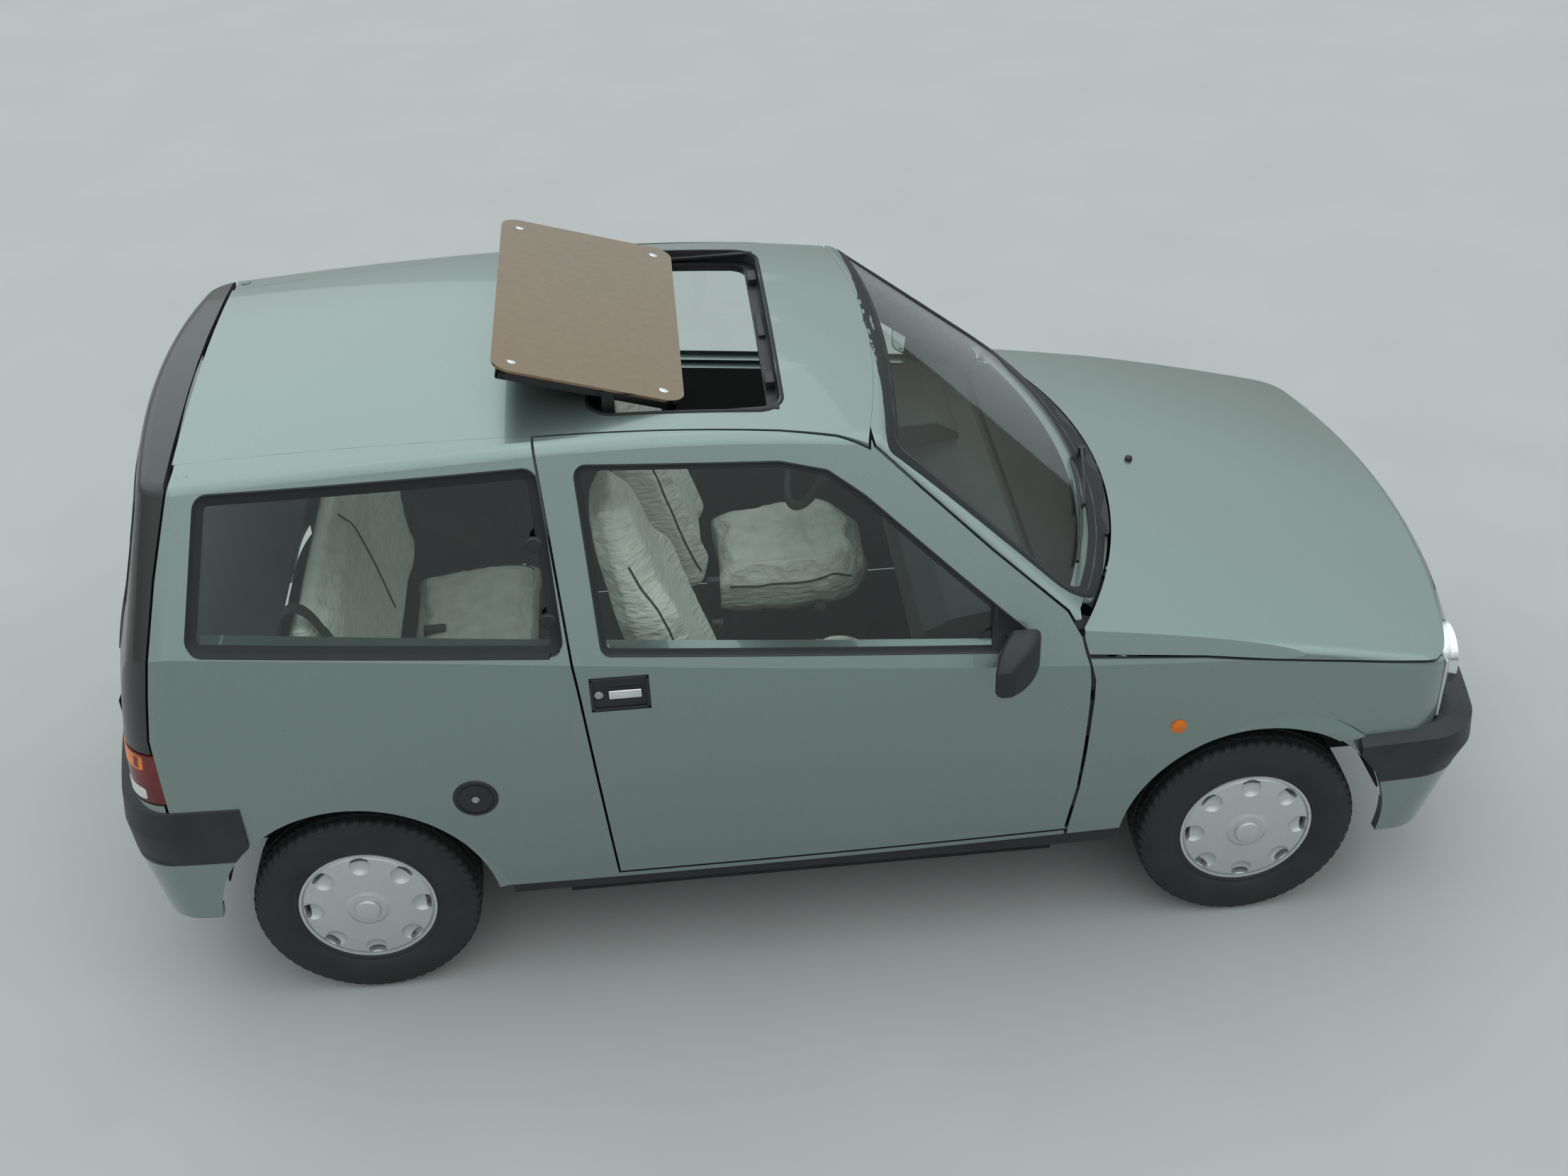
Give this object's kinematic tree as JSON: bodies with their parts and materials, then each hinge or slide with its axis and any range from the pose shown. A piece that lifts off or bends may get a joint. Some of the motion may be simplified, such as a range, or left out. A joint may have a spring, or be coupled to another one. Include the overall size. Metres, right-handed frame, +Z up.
{
  "type": "three-door hatchback car",
  "caption": "Small three-door hatchback with opening doors, bonnet and tailgate, steered front wheels and a raised glass roof panel.",
  "frame": {"origin": "on the ground, midway between the bumpers and between the sides", "axes": "+X to the car's front, +Y to its left, +Z up"},
  "size_m": [3.3919, 1.7, 1.5459],
  "materials": {
    "body_paint": "metallic gloss",
    "black_paint": "satin",
    "black_plastic": "grained",
    "window_glass": "clear",
    "headlamp_glass": "fluted",
    "tail_lamp_plastic": "gloss",
    "dash_plastic": "grained",
    "wheel_rim_plastic": "satin",
    "seat_leather": "soft crushed",
    "underbody_steel": "dull",
    "engine_iron": "cast",
    "tyre_rubber": "matt",
    "wheel_silver": "silver paint"
  },
  "bodies": {
    "body": {"side_panel_right": "body_paint", "side_panel_left": "body_paint", "roof_panel": "body_paint", "wing_right": "body_paint", "wing_left": "body_paint", "windscreen_frame": "body_paint", "front_valance": "body_paint", "rear_valance": "body_paint", "rear_panel": "body_paint", "front_bumper": "black_plastic", "rear_bumper": "black_plastic", "fuel_cap": "black_plastic", "grille": "black_plastic", "scuttle_grille": "black_plastic", "sills": "black_plastic", "sunroof_frame": "black_plastic", "wiper": "black_plastic", "windscreen": "window_glass", "quarter_windows": "window_glass", "sunroof_glass": "window_glass", "headlamps": "headlamp_glass", "tail_lamps": "tail_lamp_plastic", "dashboard": "dash_plastic", "parcel_shelf": "dash_plastic", "seat_bases": "dash_plastic", "front_seat_right": "seat_leather", "front_seat_left": "seat_leather", "rear_seat": "seat_leather", "floor_pan": "underbody_steel", "inner_wings": "underbody_steel", "fuel_tank": "underbody_steel", "front_suspension": "underbody_steel", "rear_axle": "underbody_steel", "exhaust": "underbody_steel", "engine": "engine_iron"},
    "door_right": {"door_right": "body_paint", "door_glass_right": "window_glass", "mirror_right": "black_plastic"},
    "door_left": {"door_left": "body_paint", "door_glass_left": "window_glass", "mirror_left": "black_plastic"},
    "tailgate": {"tailgate": "black_paint", "rear_glass": "window_glass"},
    "bonnet": {"bonnet": "body_paint"},
    "steer_right": {"knuckle_right": "underbody_steel"},
    "steer_left": {"knuckle_left": "underbody_steel"},
    "front_wheel_right": {"tyre_front_right": "tyre_rubber", "wheel_front_right": "wheel_silver"},
    "front_wheel_left": {"tyre_front_left": "tyre_rubber", "wheel_front_left": "wheel_silver"},
    "rear_wheel_right": {"tyre_rear_right": "tyre_rubber", "wheel_rear_right": "wheel_silver"},
    "rear_wheel_left": {"tyre_rear_left": "tyre_rubber", "wheel_rear_left": "wheel_silver"},
    "steering_wheel": {"steering_wheel": "wheel_rim_plastic"}
  },
  "joints": [
    {"name": "door_right_hinge", "type": "hinge", "parent": "body", "child": "door_right", "pos_m": [0.678, -0.708, 0.57], "axis": [0, 0, 1], "range_deg": [0, 65]},
    {"name": "door_left_hinge", "type": "hinge", "parent": "body", "child": "door_left", "pos_m": [0.678, 0.708, 0.57], "axis": [0, 0, -1], "range_deg": [0, 65]},
    {"name": "tailgate_hinge", "type": "hinge", "parent": "body", "child": "tailgate", "pos_m": [-1.349, 0, 1.376], "axis": [0, 1, 0], "range_deg": [0, 80]},
    {"name": "bonnet_hinge", "type": "hinge", "parent": "body", "child": "bonnet", "pos_m": [0.612, 0, 0.922], "axis": [0, -1, 0], "range_deg": [0, 55]},
    {"name": "steer_right_pivot", "type": "hinge", "parent": "body", "child": "steer_right", "pos_m": [1.062, -0.58, 0.272], "axis": [0, 0, 1], "range_deg": [-33, 33]},
    {"name": "steer_left_pivot", "type": "hinge", "parent": "body", "child": "steer_left", "pos_m": [1.062, 0.58, 0.272], "axis": [0, 0, 1], "range_deg": [-33, 33]},
    {"name": "steering_wheel_turn", "type": "hinge", "parent": "body", "child": "steering_wheel", "pos_m": [0.118, 0.345, 0.848], "axis": [-0.8829, 0, 0.4695], "range_deg": [-462, 462]},
    {"name": "front_wheel_right_roll", "type": "hinge", "parent": "steer_right", "child": "front_wheel_right", "pos_m": [1.062, -0.64, 0.272], "axis": [0, 1, 0], "continuous": true},
    {"name": "front_wheel_left_roll", "type": "hinge", "parent": "steer_left", "child": "front_wheel_left", "pos_m": [1.062, 0.64, 0.272], "axis": [0, 1, 0], "continuous": true},
    {"name": "rear_wheel_right_roll", "type": "hinge", "parent": "body", "child": "rear_wheel_right", "pos_m": [-1.097, -0.64, 0.272], "axis": [0, 1, 0], "continuous": true},
    {"name": "rear_wheel_left_roll", "type": "hinge", "parent": "body", "child": "rear_wheel_left", "pos_m": [-1.097, 0.64, 0.272], "axis": [0, 1, 0], "continuous": true}
  ],
  "couplings": [
    {"joint": "steer_left_pivot", "follows": "steer_right_pivot", "ratio": 1},
    {"joint": "steering_wheel_turn", "follows": "steer_right_pivot", "ratio": 14}
  ]
}
